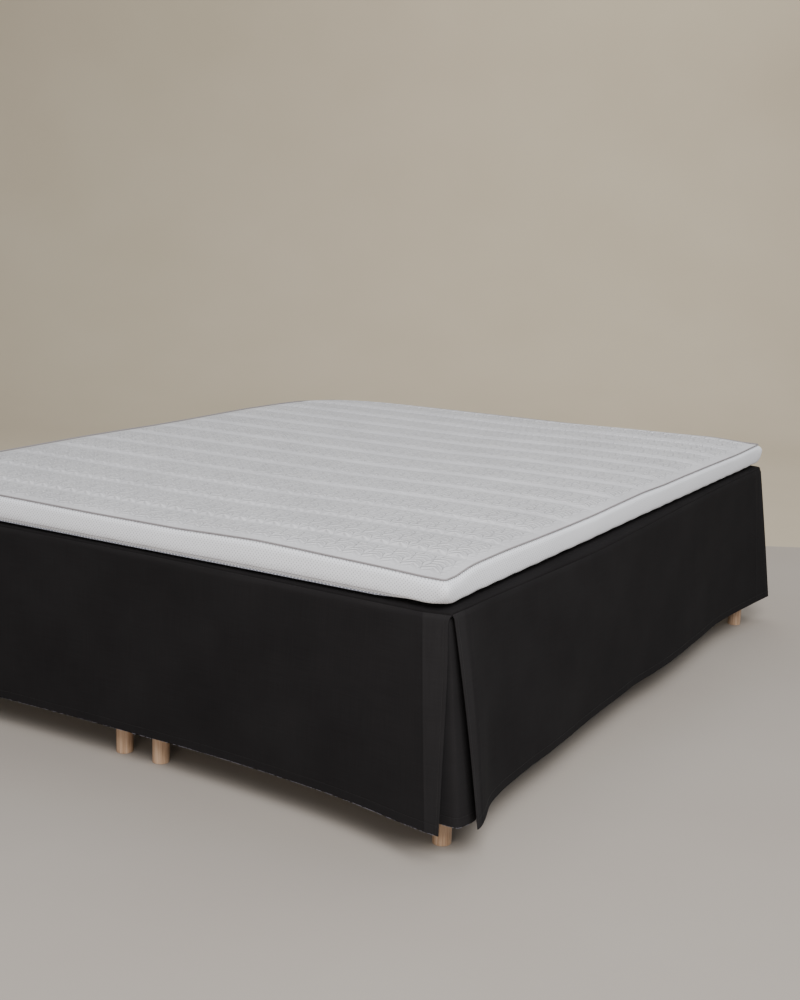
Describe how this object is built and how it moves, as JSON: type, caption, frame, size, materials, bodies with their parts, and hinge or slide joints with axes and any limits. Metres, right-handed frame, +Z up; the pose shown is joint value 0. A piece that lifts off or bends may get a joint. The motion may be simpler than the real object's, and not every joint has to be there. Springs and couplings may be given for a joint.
{
  "type": "bed skirt on a double box bed",
  "caption": "Plain black bed skirt with split corners: a deck sheet, a hemmed drop on each side and an underlay behind each open corner, hung on a box bed with round legs and a white topper.",
  "frame": {"origin": "on the floor under the middle of the bed", "axes": "+Z up, +Y along the bed from the foot end to the head end, +X to the right-hand side as seen from the foot end"},
  "size_m": [1.783, 2.171, 0.5809],
  "materials": {
    "black_cotton": "close plain-woven cotton, dyed black, pressed, matt",
    "pale_ticking": "woven ticking over a boxed spring base",
    "oiled_oak": "turned oak, oiled, satin",
    "white_knit": "quilted stretch knit over foam, with a mesh border",
    "grey_piping": "corded tape edging"
  },
  "bodies": {
    "root": {"base_left": "pale_ticking", "base_right": "pale_ticking", "drop_foot": "black_cotton", "drop_head": "black_cotton", "drop_left": "black_cotton", "drop_right": "black_cotton", "leg_foot_left": "oiled_oak", "leg_foot_mid_left": "oiled_oak", "leg_foot_mid_right": "oiled_oak", "leg_foot_right": "oiled_oak", "leg_head_left": "oiled_oak", "leg_head_mid_left": "oiled_oak", "leg_head_mid_right": "oiled_oak", "leg_head_right": "oiled_oak", "piping_low": "grey_piping", "piping_top": "grey_piping", "skirt_deck": "black_cotton", "topper": "white_knit", "underlay_foot_left": "black_cotton", "underlay_foot_right": "black_cotton", "underlay_head_left": "black_cotton", "underlay_head_right": "black_cotton"}
  },
  "joints": []
}
